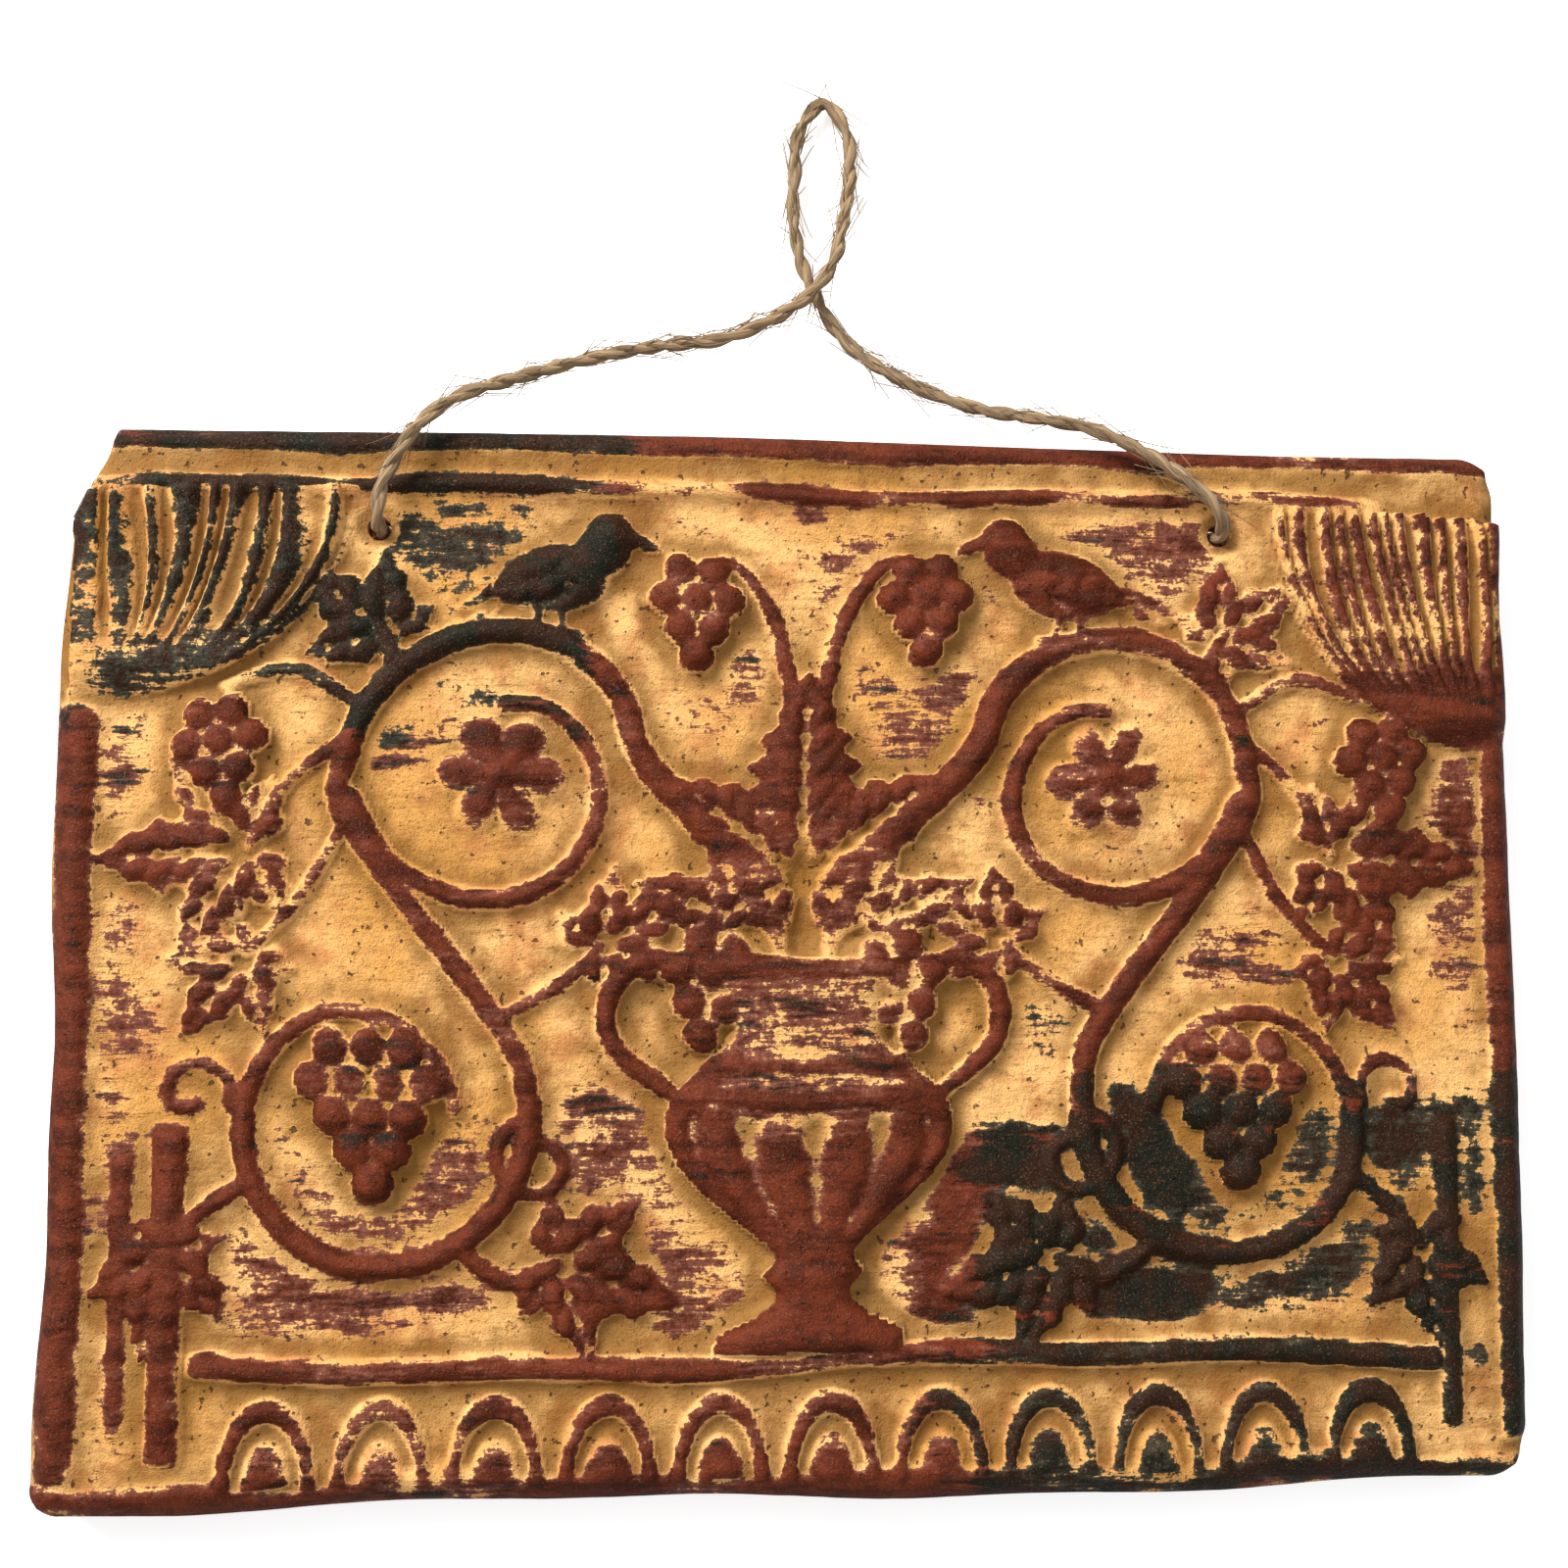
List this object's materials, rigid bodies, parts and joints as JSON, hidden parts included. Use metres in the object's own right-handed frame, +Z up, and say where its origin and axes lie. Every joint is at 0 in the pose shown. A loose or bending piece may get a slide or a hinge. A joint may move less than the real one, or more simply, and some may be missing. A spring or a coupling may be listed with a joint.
{
  "type": "decorative wall plaque",
  "caption": "Rectangular hand-moulded clay wall plaque with a painted vine-scroll relief, hung by a jute twine loop through holes near its top edge.",
  "frame": {"origin": "where the nail carries the twine, at the inside top of its loop, on the wall side", "axes": "+Z up, -Y out of the wall towards the viewer, +X to the viewer's right; the back of the plaque lies on the plane y = 0"},
  "size_m": [0.2279, 0.0149, 0.2207],
  "materials": {
    "painted_clay": "fired clay painted ochre yellow, with dry-brushed red-brown and black-green on the raised relief",
    "jute_twine": "two-ply natural jute twine with loose fibres"
  },
  "bodies": {
    "root": {"plaque": "painted_clay", "hanging_twine": "jute_twine"}
  },
  "joints": []
}
